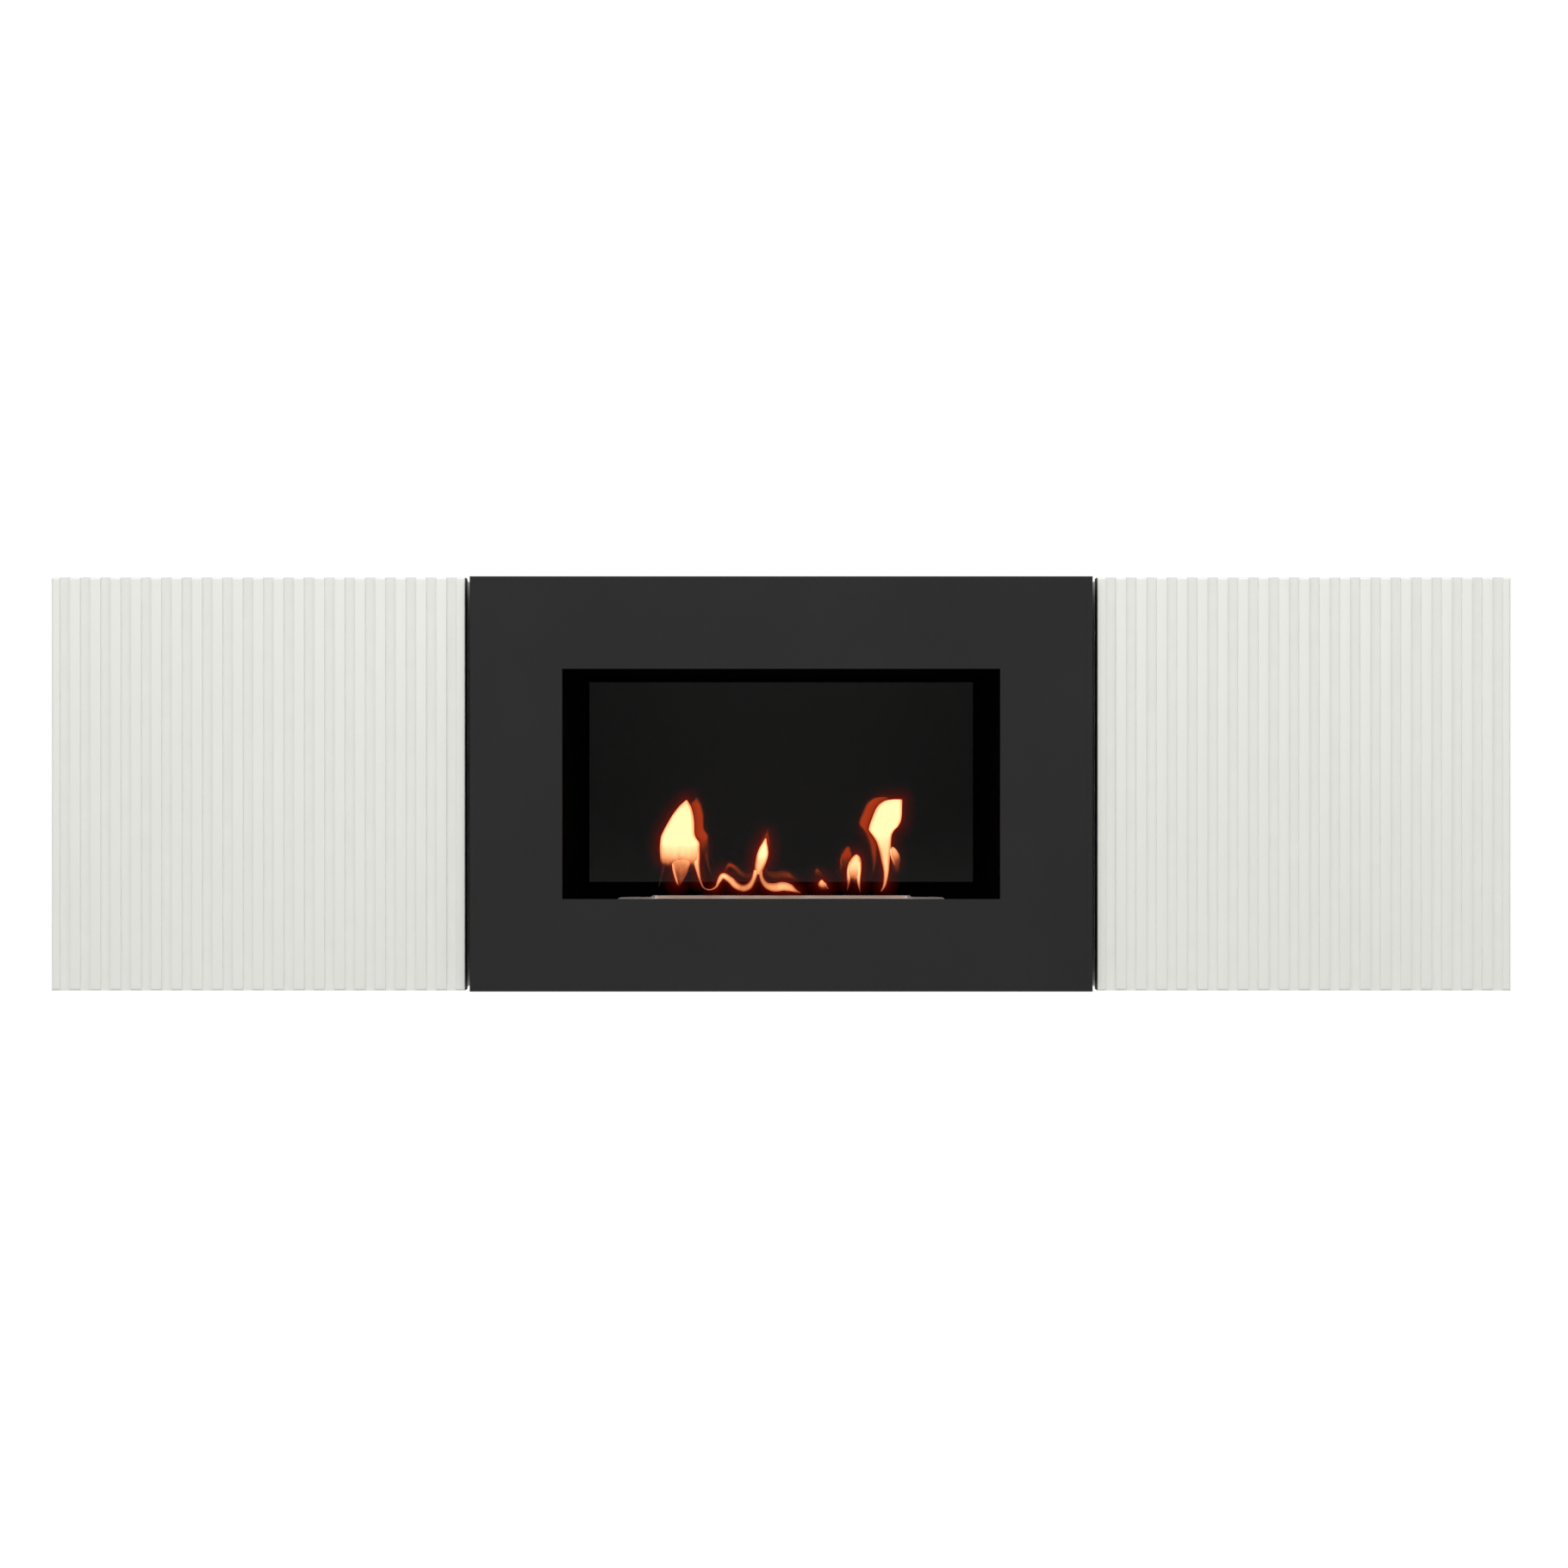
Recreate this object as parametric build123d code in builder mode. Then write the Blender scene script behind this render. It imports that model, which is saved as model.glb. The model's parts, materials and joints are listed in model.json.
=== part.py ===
from build123d import *
import os

# A wall-hung spirit-burner fireplace between two small cabinets with fluted doors.
# Millimetres. +X is right, -Y is the front, +Z is up. The wall is the plane y = 0, and the origin
# is the middle of the unit on that wall. Y ranges below run from the front to the wall.

# ---- the whole unit ----
unit_height = 400.0  # doors and fascia
box_gap = 6.0  # open gap between neighbouring boxes
top_z = unit_height / 2

# ---- fireplace insert: fascia and casing ----
insert_width = 600.0
fascia_front = -340.0
fascia_sheet = 2.0
fascia_return = 28.0  # depth of the folded rim
opening_width = 422.0
opening_height = 222.0
casing_sheet = 1.5
casing_play = 0.4  # between the fascia's rim and the casing
casing_flange = 15.0
wall_hole_radius = 4.5
wall_hole_spacing = (480.0, 300.0)

# ---- fireplace insert: firebox ----
liner_sheet = 1.5
liner_setback = 0.5  # the liner stands this far outside the fascia's opening
liner_flange = 14.0
floor_z = -122.5  # top of the firebox floor, below the lip
floor_sheet = 2.0
floor_fold = 15.0
glass_front = -40.0
glass_thickness = 4.0
glass_side_gap = 0.5
channel_top = -108.5
channel_sheet = 1.0
channel_play = 0.5
pad_thickness = 1.5
pad_size = (30.0, 20.0)
pad_centre = (170.0, 85.0)
back_insulation = 20.0
top_insulation = 25.0
stud_radius = 2.0
stud_length = 10.0
stud_inset = 8.4  # from the liner's walls
stud_side_step = 80.0
stud_top_step = 150.0
nut_across_flats = 7.0
nut_height = 3.2

# ---- burner ----
burner_centre_y = -175.0
tank_length = 300.0
tank_width = 80.0
tank_depth = 60.0
tank_sheet = 1.5
tank_play = 2.0  # round the tank in the floor's cut-out
plate_length = 341.0
plate_width = 100.0
plate_corner = 10.0
seat_play = 0.3  # between pieces that lift or slide and what carries them
plate_top = -120.5
slot_length = 250.0
slot_width = 16.0
slot_y = -182.0
lid_length = 263.0
lid_width = 34.0
lid_top = -118.5
lid_rear = -131.5  # rear edge of the lid when it is open
lid_travel = 34.0
lid_notch = 7.0
lid_lip = (1.2, 1.6)  # thickness and height of the edge folded up along the lid's front
guide_width = 4.0
guide_play = 0.5
wool_play = 1.5
wool_height = 42.0

# ---- cabinets, measured outwards from the middle of the unit ----
door_size = 400.0
door_thickness = 19.0
door_rear = -312.0
carcass_front = -310.0
carcass_top = 198.0
board = 16.0
knuckle_overhang = 7.2  # the door covers the outer side by this much, which hides the hinges
back_board = 3.0
back_board_y = -23.0
groove_depth = 6.0
shelf_front = -300.0
shelf_play = 0.5
shelf_pin_radius = 2.5
shelf_pin_reach = 8.0
shelf_pin_y = (-270.0, -60.0)

# ---- fluted doors ----
flute_count = 20
flute_pitch = 19.7
flute_width = 9.7
flute_depth = 2.2
flute_bottom_radius = 0.8
flute_shoulder_radius = 0.5
edge_band_thickness = 0.8
edge_band_setback = 3.0  # behind the door's front face

# ---- hinges ----
hinge_height = 150.0  # each side of the middle
hinge_length = 60.0
hinge_axis_inset = 3.6  # from the door's outer edge and from its rear face
barrel_radius = 3.1
pin_radius = 1.5
pin_play = 0.05
pin_head = 1.0
leaf_thickness = 1.0
leaf_width = 30.0
knuckle_length = 18.0
knuckle_gap = 0.3
leaf_notch_play = 0.5
hinge_screw_offset = 20.0
hinge_screw_radius = 1.5
hinge_screw_head = 3.0
hinge_screw_length = 12.0

# ---- push latch ----
latch_z = 40.0
latch_size = (14.0, 60.0, 18.0)
latch_front = -309.0
plunger_radius = 4.0
plunger_tip = -310.6
plunger_length = 40.0
plunger_play = 0.5
bore_depth = 47.0
latch_dowel_y = (-295.0, -262.0)
latch_dowel_radius = 2.5
strike_radius = 8.0
strike_thickness = 0.9

# ---- fasteners and hangers ----
carcass_screw_y = (-280.0, -60.0)
carcass_screw_radius = 3.0
carcass_screw_head = (5.0, 3.0)  # radius, depth
carcass_screw_length = 40.0
hanger_sheet = 2.0
hanger_plate = (50.0, 42.0)
hanger_hole_z = 160.0
hanger_hole_inset = 25.4  # from the inside of the carcass
hanger_screw_z = (150.0, 172.0)
fascia_screw_x = (-220.0, 0.0, 220.0)
fascia_screw_y = -322.0
fascia_screw_head = 3.75
fascia_screw_radius = 2.0
fascia_screw_length = 12.0

# ---- worked out ----
half_insert = insert_width / 2
half_opening = opening_width / 2
opening_top = opening_height / 2
fascia_rear = fascia_front + fascia_sheet
casing_x = half_insert - fascia_sheet - casing_play
casing_z = top_z - fascia_sheet - casing_play
casing_in_x = casing_x - casing_sheet
casing_in_z = casing_z - casing_sheet
liner_x = half_opening + liner_setback
liner_z = opening_top + liner_setback
glass_rear = glass_front + glass_thickness
liner_back_front = glass_rear + pad_thickness
liner_back_rear = liner_back_front + liner_sheet
floor_bottom = floor_z - floor_sheet
door_inner = half_insert + box_gap
door_outer = door_inner + door_size
door_front = door_rear - door_thickness
carcass_outer = door_outer - knuckle_overhang
inside_inner = door_inner + board  # inner face of the cabinet's inner side
inside_outer = carcass_outer - board
inside_top = carcass_top - board
hinge_x = door_outer - hinge_axis_inset
hinge_y = door_rear + hinge_axis_inset
latch_x = inside_inner + latch_size[0] / 2

os.makedirs("parts", exist_ok=True)


def write(piece, node):
    """Name a finished sub-part and write its STEP file."""
    piece.part.label = node
    export_step(piece.part, "parts/" + node + ".step")


def block(x, y, z, mode=Mode.ADD):
    """A square-edged block spanning three (from, to) ranges."""
    with Locations((min(x), min(y), min(z))):
        Box(abs(x[1] - x[0]), abs(y[1] - y[0]), abs(z[1] - z[0]), align=Align.MIN, mode=mode)


def rod(centre, radius, length, axis, mode=Mode.ADD):
    """A round rod that starts at centre and runs along axis, one of the world's directions."""
    turn = {"+X": (0, 90, 0), "-X": (0, -90, 0), "+Y": (-90, 0, 0), "+Z": (0, 0, 0), "-Z": (180, 0, 0)}
    up = (Align.CENTER, Align.CENTER, Align.MIN)
    with Locations(Location(centre, turn[axis])):
        Cylinder(radius, length, align=up, mode=mode)


# ======================= fireplace insert =======================

# Countersunk screws that hold the fascia's rim on the casing, three above and three below.
with BuildPart() as fascia_screws:
    for side, axis in ((1, "-Z"), (-1, "+Z")):
        for x in fascia_screw_x:
            with BuildSketch(Plane.XY.offset(side * top_z)):
                with Locations((x, fascia_screw_y)):
                    Circle(fascia_screw_head)
            with BuildSketch(Plane.XY.offset(side * (top_z - fascia_sheet))):
                with Locations((x, fascia_screw_y)):
                    Circle(fascia_screw_radius)
            loft()
            rod((x, fascia_screw_y, side * (top_z - fascia_sheet)), fascia_screw_radius,
                fascia_screw_length - fascia_sheet, axis)
write(fascia_screws, "fascia_screws")

# The fascia is one folded sheet: a flat face with the fire opening and a rim folded back all round.
# Weld studs on its rear face carry the liner.
stud_z = (-stud_side_step, 0, stud_side_step)
side_studs = [(side * (liner_x + stud_inset), z) for side in (-1, 1) for z in stud_z]
top_studs = [(x, liner_z + stud_inset) for x in (-stud_top_step, 0, stud_top_step)]
stud_places = side_studs + top_studs
with BuildPart() as fascia_frame:
    with BuildSketch(Plane.XZ.offset(-fascia_front)):
        Rectangle(insert_width, unit_height)
    extrude(amount=-fascia_return)
    with BuildSketch(Plane.XZ.offset(-fascia_rear)):
        Rectangle(insert_width - 2 * fascia_sheet, unit_height - 2 * fascia_sheet)
    extrude(amount=-fascia_return, mode=Mode.SUBTRACT)
    with BuildSketch(Plane.XZ.offset(-fascia_front)):
        Rectangle(opening_width, opening_height)
    extrude(amount=-fascia_sheet, mode=Mode.SUBTRACT)
    for x, z in stud_places:
        rod((x, fascia_rear, z), stud_radius, stud_length, "+Y")
    add(fascia_screws.part, mode=Mode.SUBTRACT)
write(fascia_frame, "fascia_frame")

# The casing is a wrapped sheet tube behind the fascia, closed at the wall by a flanged plate.
with BuildPart() as casing_shell:
    with BuildSketch(Plane.XZ.offset(-fascia_rear)):
        Rectangle(2 * casing_x, 2 * casing_z)
        Rectangle(2 * casing_in_x, 2 * casing_in_z, mode=Mode.SUBTRACT)
    extrude(amount=fascia_rear)
    add(fascia_screws.part, mode=Mode.SUBTRACT)
write(casing_shell, "casing_shell")

with BuildPart() as casing_back:
    with BuildSketch(Plane.XZ):
        Rectangle(2 * casing_in_x, 2 * casing_in_z)
    extrude(amount=casing_sheet + casing_flange)
    with BuildSketch(Plane.XZ.offset(casing_sheet)):
        Rectangle(2 * (casing_in_x - casing_sheet), 2 * (casing_in_z - casing_sheet))
    extrude(amount=casing_flange, mode=Mode.SUBTRACT)
    with BuildSketch(Plane.XZ):
        with GridLocations(wall_hole_spacing[0], wall_hole_spacing[1], 2, 2):
            Circle(wall_hole_radius)
    extrude(amount=casing_sheet, mode=Mode.SUBTRACT)
write(casing_back, "casing_back")

# Nuts on the fascia's studs, behind the liner's flange.
with BuildPart() as liner_nuts:
    with BuildSketch(Plane.XZ.offset(-(fascia_rear + liner_sheet))):
        with Locations(stud_places):
            RegularPolygon(nut_across_flats / 2, 6, major_radius=False)
            Circle(stud_radius, mode=Mode.SUBTRACT)
    extrude(amount=-nut_height)
write(liner_nuts, "liner_nuts")

# The liner is the firebox's ceiling and both side walls, with a flange turned out behind the fascia.
liner_bottom = floor_bottom - floor_fold
with BuildPart() as firebox_liner:
    with BuildSketch(Plane.XZ.offset(-fascia_rear)):
        with Locations((0, (liner_z + liner_sheet + liner_bottom) / 2)):
            Rectangle(2 * (liner_x + liner_sheet), liner_z + liner_sheet - liner_bottom)
        with Locations((0, (liner_z + liner_bottom) / 2)):
            Rectangle(2 * liner_x, liner_z - liner_bottom, mode=Mode.SUBTRACT)
    extrude(amount=-(liner_back_rear - fascia_rear))
    with BuildSketch(Plane.XZ.offset(-fascia_rear)):
        with Locations((0, (liner_z + liner_flange + liner_bottom) / 2)):
            Rectangle(2 * (liner_x + liner_flange), liner_z + liner_flange - liner_bottom)
        with Locations((0, (liner_z + liner_bottom) / 2)):
            Rectangle(2 * liner_x, liner_z - liner_bottom, mode=Mode.SUBTRACT)
        with Locations(stud_places):
            Circle(stud_radius, mode=Mode.SUBTRACT)
    extrude(amount=-liner_sheet)
write(firebox_liner, "firebox_liner")

with BuildPart() as liner_back:
    block((-liner_x, liner_x), (liner_back_front, liner_back_rear), (floor_z, liner_z))
write(liner_back, "liner_back")

# The floor turns up behind the lip and down along both side walls, and has the burner's cut-out.
cutout_x = tank_length / 2 + tank_play
cutout_y = tank_width / 2 + tank_play
with BuildPart() as firebox_floor:
    with BuildSketch(Plane.XY.offset(floor_bottom)):
        with Locations((0, (fascia_rear + liner_back_rear) / 2)):
            Rectangle(2 * liner_x, liner_back_rear - fascia_rear)
        with Locations((0, burner_centre_y)):
            Rectangle(2 * cutout_x, 2 * cutout_y, mode=Mode.SUBTRACT)
    extrude(amount=floor_sheet)
    block((-liner_x, liner_x), (fascia_rear, fascia_rear + floor_sheet), (floor_z, -opening_top))
    for side in (-1, 1):
        fold = (side * liner_x, side * (liner_x - floor_sheet))
        block(fold, (fascia_rear, liner_back_rear), (liner_bottom, floor_bottom))
write(firebox_floor, "firebox_floor")

# A black glass panel covers the back of the firebox. It stands in a channel, against four pads.
with BuildPart() as glass_channel:
    with BuildSketch(Plane.YZ.offset(-liner_x)):
        with BuildLine():
            Polyline(
                (glass_front - channel_play, channel_top),
                (glass_front - channel_play, floor_z + channel_sheet),
                (glass_rear + channel_play, floor_z + channel_sheet),
                (glass_rear + channel_play, channel_top),
                (glass_rear + channel_play + channel_sheet, channel_top),
                (glass_rear + channel_play + channel_sheet, floor_z),
                (glass_front - channel_play - channel_sheet, floor_z),
                (glass_front - channel_play - channel_sheet, channel_top),
                close=True,
            )
        make_face()
    extrude(amount=2 * liner_x)
write(glass_channel, "glass_channel")

with BuildPart() as rear_glass:
    half_glass = liner_x - glass_side_gap
    block((-half_glass, half_glass), (glass_front, glass_rear),
          (floor_z + channel_sheet, liner_z - glass_side_gap))
write(rear_glass, "rear_glass")

with BuildPart() as glass_pads:
    with BuildSketch(Plane.XZ.offset(-glass_rear)):
        with GridLocations(2 * pad_centre[0], 2 * pad_centre[1], 2, 2):
            Rectangle(pad_size[0], pad_size[1])
    extrude(amount=-pad_thickness)
write(glass_pads, "glass_pads")

with BuildPart() as insulation_back:
    block((-liner_x, liner_x), (liner_back_rear, liner_back_rear + back_insulation), (floor_z, liner_z))
write(insulation_back, "insulation_back")

with BuildPart() as insulation_top:
    board_z = liner_z + liner_sheet
    block((-liner_x, liner_x), (fascia_rear + liner_flange, liner_back_rear),
          (board_z, board_z + top_insulation))
write(insulation_top, "insulation_top")

# ======================= burner =======================

plate_bottom = floor_z + seat_play

# The tank hangs through the floor from the top plate that closes it.
with BuildPart() as burner_tank:
    with BuildSketch(Plane.XY.offset(plate_bottom - tank_depth)):
        with Locations((0, burner_centre_y)):
            Rectangle(tank_length, tank_width)
    extrude(amount=tank_depth)
    with BuildSketch(Plane.XY.offset(plate_bottom - tank_depth + tank_sheet)):
        with Locations((0, burner_centre_y)):
            Rectangle(tank_length - 2 * tank_sheet, tank_width - 2 * tank_sheet)
    extrude(amount=tank_depth - tank_sheet, mode=Mode.SUBTRACT)
write(burner_tank, "burner_tank")

with BuildPart() as burner_top_plate:
    with BuildSketch(Plane.XY.offset(plate_bottom)):
        with Locations((0, burner_centre_y)):
            RectangleRounded(plate_length, plate_width, plate_corner)
        with Locations((0, slot_y)):
            SlotOverall(slot_length, slot_width, mode=Mode.SUBTRACT)
    extrude(amount=plate_top - plate_bottom)
write(burner_top_plate, "burner_top_plate")

with BuildPart() as burner_wool:
    with BuildSketch(Plane.XY.offset(plate_bottom - tank_depth + tank_sheet)):
        with Locations((0, burner_centre_y)):
            Rectangle(tank_length - 2 * (tank_sheet + wool_play), tank_width - 2 * (tank_sheet + wool_play))
    extrude(amount=wool_height)
write(burner_wool, "burner_wool")

# The lid slides forward over the slot between two strips. A round notch takes the opening tool.
with BuildPart() as burner_lid:
    with BuildSketch(Plane.XY.offset(plate_top + seat_play)):
        with Locations((0, lid_rear - lid_width / 2)):
            Rectangle(lid_length, lid_width)
        with Locations((0, lid_rear)):
            Circle(lid_notch, mode=Mode.SUBTRACT)
    extrude(amount=lid_top - plate_top - seat_play)
    lid_front = lid_rear - lid_width
    block((-lid_length / 2, lid_length / 2), (lid_front, lid_front + lid_lip[0]),
          (lid_top, lid_top + lid_lip[1]))
write(burner_lid, "burner_lid")

with BuildPart() as lid_guides:
    guide_front = lid_front - lid_travel - guide_width
    guide_in = lid_length / 2 + guide_play
    for side in (-1, 1):
        block((side * guide_in, side * (guide_in + guide_width)), (guide_front, lid_rear + guide_width / 2),
              (plate_top, lid_top))
write(lid_guides, "lid_guides")


# ======================= cabinets =======================


def hinge_sections(centre_z):
    """The z ranges of a hinge's lower, middle and upper knuckles."""
    low = centre_z - hinge_length / 2
    high = centre_z + hinge_length / 2
    middle = (low + knuckle_length + knuckle_gap, high - knuckle_length - knuckle_gap)
    return (low, low + knuckle_length), middle, (high - knuckle_length, high)


def make_cabinet(name, side):
    """Every sub-part of one cabinet. side is -1 for the left one and +1 for the right one."""

    def out(*distances):
        """Distances from the middle of the unit, as x on this cabinet's side."""
        return tuple(side * d for d in distances)

    outward = "+X" if side > 0 else "-X"
    inward = "-X" if side > 0 else "+X"
    hinge_centres = (-hinge_height, hinge_height)
    axis_x = side * hinge_x

    # Fasteners and fittings first, because the boards are drilled with their shapes.
    with BuildPart() as carcass_screws:
        for start, axis in ((carcass_outer, inward), (door_inner, outward)):
            for y in carcass_screw_y:
                for z in (-carcass_top + board / 2, carcass_top - board / 2):
                    rod((side * start, y, z), carcass_screw_radius, carcass_screw_length, axis)
                    rod((side * start, y, z), carcass_screw_head[0], carcass_screw_head[1], axis)
    write(carcass_screws, name + "_carcass_screws")

    with BuildPart() as shelf_pins:
        for face, axis in ((inside_inner - shelf_pin_reach, outward),
                           (inside_outer + shelf_pin_reach, inward)):
            for y in shelf_pin_y:
                start = (side * face, y, -board / 2 - shelf_pin_radius)
                rod(start, shelf_pin_radius, 2 * shelf_pin_reach, axis)
    write(shelf_pins, name + "_shelf_pins")

    with BuildPart() as hanger_screws:
        for face, axis in ((inside_inner + hanger_sheet, inward), (inside_outer - hanger_sheet, outward)):
            for z in hanger_screw_z:
                start = (side * face, back_board_y / 2, z)
                rod(start, hinge_screw_radius, hinge_screw_length, axis)
                head_start = (side * face, back_board_y / 2, z)
                rod(head_start, hinge_screw_head, hinge_screw_radius, outward if axis == inward else inward)
    write(hanger_screws, name + "_hanger_screws")

    with BuildPart() as back_panel:
        block(out(inside_inner - groove_depth, inside_outer + groove_depth),
              (back_board_y, back_board_y + back_board),
              (-inside_top - groove_depth, inside_top + groove_depth))
    write(back_panel, name + "_back_panel")

    # The push latch: a moulded body with two dowels pressed into the inner side, and its plunger.
    with BuildPart() as latch_body:
        block(out(inside_inner, inside_inner + latch_size[0]), (latch_front, latch_front + latch_size[1]),
              (latch_z - latch_size[2] / 2, latch_z + latch_size[2] / 2))
        rod((side * latch_x, latch_front, latch_z), plunger_radius + plunger_play, bore_depth, "+Y",
            Mode.SUBTRACT)
        for y in latch_dowel_y:
            rod((side * inside_inner, y, latch_z), latch_dowel_radius, shelf_pin_reach, inward)
    write(latch_body, name + "_latch_body")

    with BuildPart() as latch_plunger:
        rod((side * latch_x, plunger_tip, latch_z), plunger_radius, plunger_length, "+Y")
    write(latch_plunger, name + "_latch_plunger")

    # Hinge pieces that stay on the carcass: leaves on the outer side, with two knuckles each, and pins.
    with BuildPart() as leaf_screws_frame:
        for centre_z in hinge_centres:
            for offset_z in (-hinge_screw_offset, hinge_screw_offset):
                start = (side * (carcass_outer + leaf_thickness), hinge_y + leaf_width / 2,
                         centre_z + offset_z)
                rod(start, hinge_screw_radius, hinge_screw_length, inward)
                rod(start, hinge_screw_head, leaf_thickness / 2, inward)
    write(leaf_screws_frame, name + "_frame_leaf_screws")

    with BuildPart() as hinge_pins:
        for centre_z in hinge_centres:
            low = centre_z - hinge_length / 2 - pin_head
            rod((axis_x, hinge_y, low), pin_radius, hinge_length + 2 * pin_head, "+Z")
            for z in (low, centre_z + hinge_length / 2):
                rod((axis_x, hinge_y, z), pin_radius + pin_head, pin_head, "+Z")
    write(hinge_pins, name + "_hinge_pins")

    with BuildPart() as frame_leaves:
        for centre_z in hinge_centres:
            lower, middle, upper = hinge_sections(centre_z)
            leaf_x = out(carcass_outer, carcass_outer + leaf_thickness)
            block(leaf_x, (hinge_y, hinge_y + leaf_width), (lower[0], upper[1]))
            notch_y = hinge_y + hinge_axis_inset + leaf_notch_play
            block(leaf_x, (hinge_y, notch_y), (middle[0] - knuckle_gap, middle[1] + knuckle_gap),
                  Mode.SUBTRACT)
            for section in (lower, upper):
                rod((axis_x, hinge_y, section[0]), barrel_radius, knuckle_length, "+Z")
                rod((axis_x, hinge_y, section[0]), pin_radius, knuckle_length, "+Z", Mode.SUBTRACT)
        add(leaf_screws_frame.part, mode=Mode.SUBTRACT)
    write(frame_leaves, name + "_hinge_frame_leaves")

    # Boards.
    with BuildPart() as side_outer:
        block(out(inside_outer, carcass_outer), (carcass_front, 0), (-carcass_top, carcass_top))
        for fitting in (carcass_screws, shelf_pins, hanger_screws, back_panel, leaf_screws_frame):
            add(fitting.part, mode=Mode.SUBTRACT)
    write(side_outer, name + "_side_outer")

    with BuildPart() as side_inner:
        block(out(door_inner, inside_inner), (carcass_front, 0), (-carcass_top, carcass_top))
        for fitting in (carcass_screws, shelf_pins, hanger_screws, back_panel, latch_body):
            add(fitting.part, mode=Mode.SUBTRACT)
    write(side_inner, name + "_side_inner")

    with BuildPart() as top_panel:
        block(out(inside_inner, inside_outer), (carcass_front, 0), (inside_top, carcass_top))
        add(carcass_screws.part, mode=Mode.SUBTRACT)
        add(back_panel.part, mode=Mode.SUBTRACT)
    write(top_panel, name + "_top_panel")

    with BuildPart() as bottom_panel:
        block(out(inside_inner, inside_outer), (carcass_front, 0), (-carcass_top, -inside_top))
        add(carcass_screws.part, mode=Mode.SUBTRACT)
        add(back_panel.part, mode=Mode.SUBTRACT)
    write(bottom_panel, name + "_bottom_panel")

    with BuildPart() as shelf:
        block(out(inside_inner + shelf_play, inside_outer - shelf_play),
              (shelf_front, back_board_y - shelf_play), (-board / 2, board / 2))
    write(shelf, name + "_shelf")

    # Angle plates behind the back panel hang the cabinet on two wall screws.
    with BuildPart() as hanger_plates:
        hanger_z = (inside_top - hanger_plate[1], inside_top)
        for face, inwards in ((inside_inner, 1), (inside_outer, -1)):
            plate_x = out(face, face + inwards * hanger_plate[0])
            fold_x = out(face, face + inwards * hanger_sheet)
            block(plate_x, (-hanger_sheet, 0), hanger_z)
            block(fold_x, (back_board_y + back_board, 0), hanger_z)
            hole_x = side * (face + inwards * hanger_hole_inset)
            rod((hole_x, -hanger_sheet, hanger_hole_z), wall_hole_radius, hanger_sheet, "+Y", Mode.SUBTRACT)
        add(hanger_screws.part, mode=Mode.SUBTRACT)
    write(hanger_plates, name + "_hanger_plates")

    # Pieces that swing with the door.
    with BuildPart() as leaf_screws_door:
        for centre_z in hinge_centres:
            for offset_z in (-hinge_screw_offset, hinge_screw_offset):
                start_y = door_rear + leaf_thickness - hinge_screw_length
                start = (side * (hinge_x - leaf_width / 2), start_y, centre_z + offset_z)
                head_start = (start[0], door_rear + leaf_thickness / 2, start[2])
                rod(start, hinge_screw_radius, hinge_screw_length, "+Y")
                rod(head_start, hinge_screw_head, leaf_thickness / 2, "+Y")
    write(leaf_screws_door, name + "_door_leaf_screws")

    with BuildPart() as door_leaves:
        for centre_z in hinge_centres:
            lower, middle, upper = hinge_sections(centre_z)
            block(out(hinge_x, hinge_x - leaf_width), (door_rear, door_rear + leaf_thickness),
                  (lower[0], upper[1]))
            notch_x = out(hinge_x, hinge_x - hinge_axis_inset - leaf_notch_play)
            for low, high in ((lower[0], middle[0]), (middle[1], upper[1])):
                block(notch_x, (door_rear, door_rear + leaf_thickness), (low, high), Mode.SUBTRACT)
            rod((axis_x, hinge_y, middle[0]), barrel_radius, middle[1] - middle[0], "+Z")
            rod((axis_x, hinge_y, middle[0]), pin_radius + pin_play, middle[1] - middle[0], "+Z",
                Mode.SUBTRACT)
        add(leaf_screws_door.part, mode=Mode.SUBTRACT)
    write(door_leaves, name + "_hinge_door_leaves")

    with BuildPart() as strike_plate:
        rod((side * latch_x, door_rear, latch_z), strike_radius, strike_thickness, "+Y")
    write(strike_plate, name + "_strike_plate")

    with BuildPart() as edge_band:
        block(out(door_inner, door_inner + edge_band_thickness),
              (door_front + edge_band_setback, door_rear), (-top_z, top_z))
    write(edge_band, name + "_door_edge_band")

    # The door is one board with vertical flutes from edge to edge.
    first_flute = (door_inner + door_outer - (flute_count - 1) * flute_pitch) / 2
    with BuildPart() as door:
        with BuildSketch(Plane.XY.offset(-top_z)) as profile:
            with Locations((side * (door_inner + door_outer) / 2, (door_front + door_rear) / 2)):
                Rectangle(door_size, door_thickness)
            for i in range(flute_count):
                with Locations((side * (first_flute + i * flute_pitch), door_front)):
                    RectangleRounded(flute_width, 2 * flute_depth, flute_bottom_radius, mode=Mode.SUBTRACT)
            fillet(profile.vertices().group_by(Axis.Y)[0], flute_shoulder_radius)
        extrude(amount=unit_height)
        add(edge_band.part, mode=Mode.SUBTRACT)
        add(leaf_screws_door.part, mode=Mode.SUBTRACT)
    write(door, name + "_door")


make_cabinet("left", -1)
make_cabinet("right", 1)
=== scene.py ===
import json
import math

import bmesh
import bpy
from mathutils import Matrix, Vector, noise
from mathutils.kdtree import KDTree


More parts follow.
